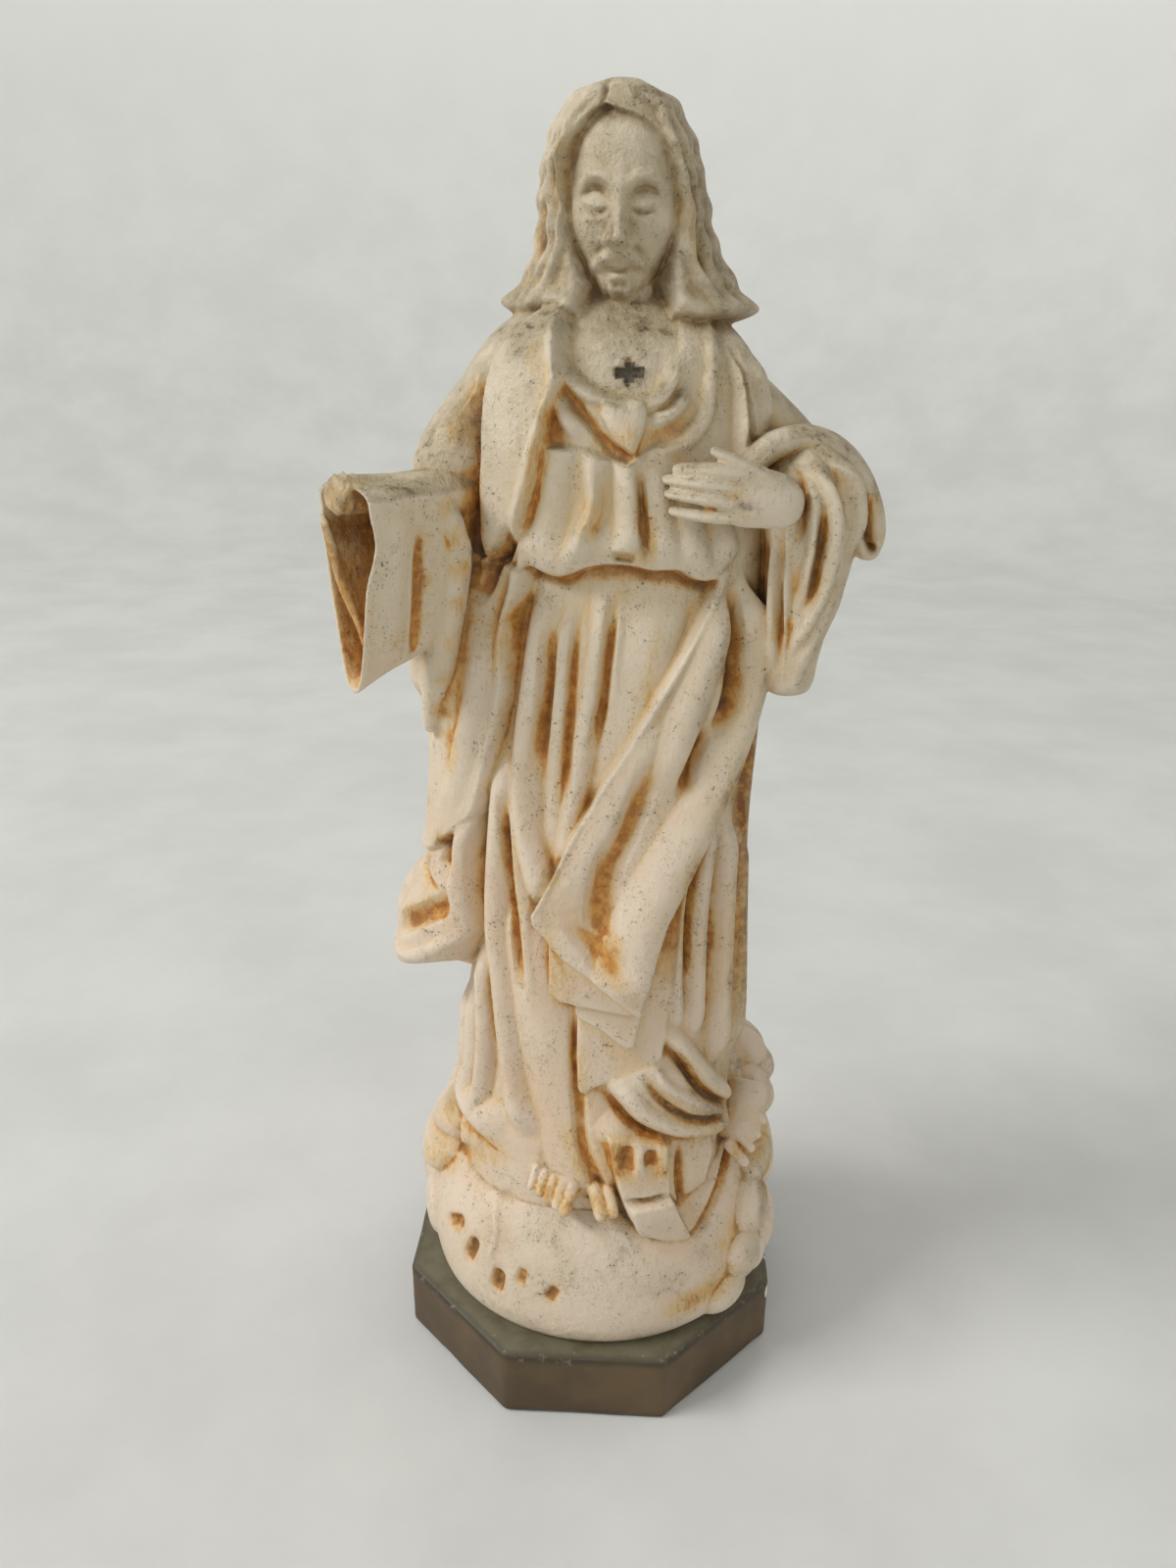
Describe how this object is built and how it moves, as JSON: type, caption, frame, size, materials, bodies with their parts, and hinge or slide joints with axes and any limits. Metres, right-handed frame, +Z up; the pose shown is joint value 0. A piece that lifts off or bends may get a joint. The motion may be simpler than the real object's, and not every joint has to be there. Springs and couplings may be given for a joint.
{
  "type": "sacred heart statue",
  "caption": "Cast plaster devotional figure in robe and mantle on a bank of cloud, right hand broken off, on a dark octagonal plinth.",
  "frame": {"origin": "middle of the plinth's underside", "axes": "+Z up, the figure faces -Y, its left arm is on the +X side"},
  "size_m": [0.1599, 0.13, 0.402],
  "materials": {
    "patinated_plaster": "painted ivory plaster with ochre glaze in the hollows, satin",
    "painted_plinth": "dark brown-green paint over plaster, worn satin"
  },
  "bodies": {
    "root": {"figure": "patinated_plaster", "plinth": "painted_plinth"}
  },
  "joints": []
}
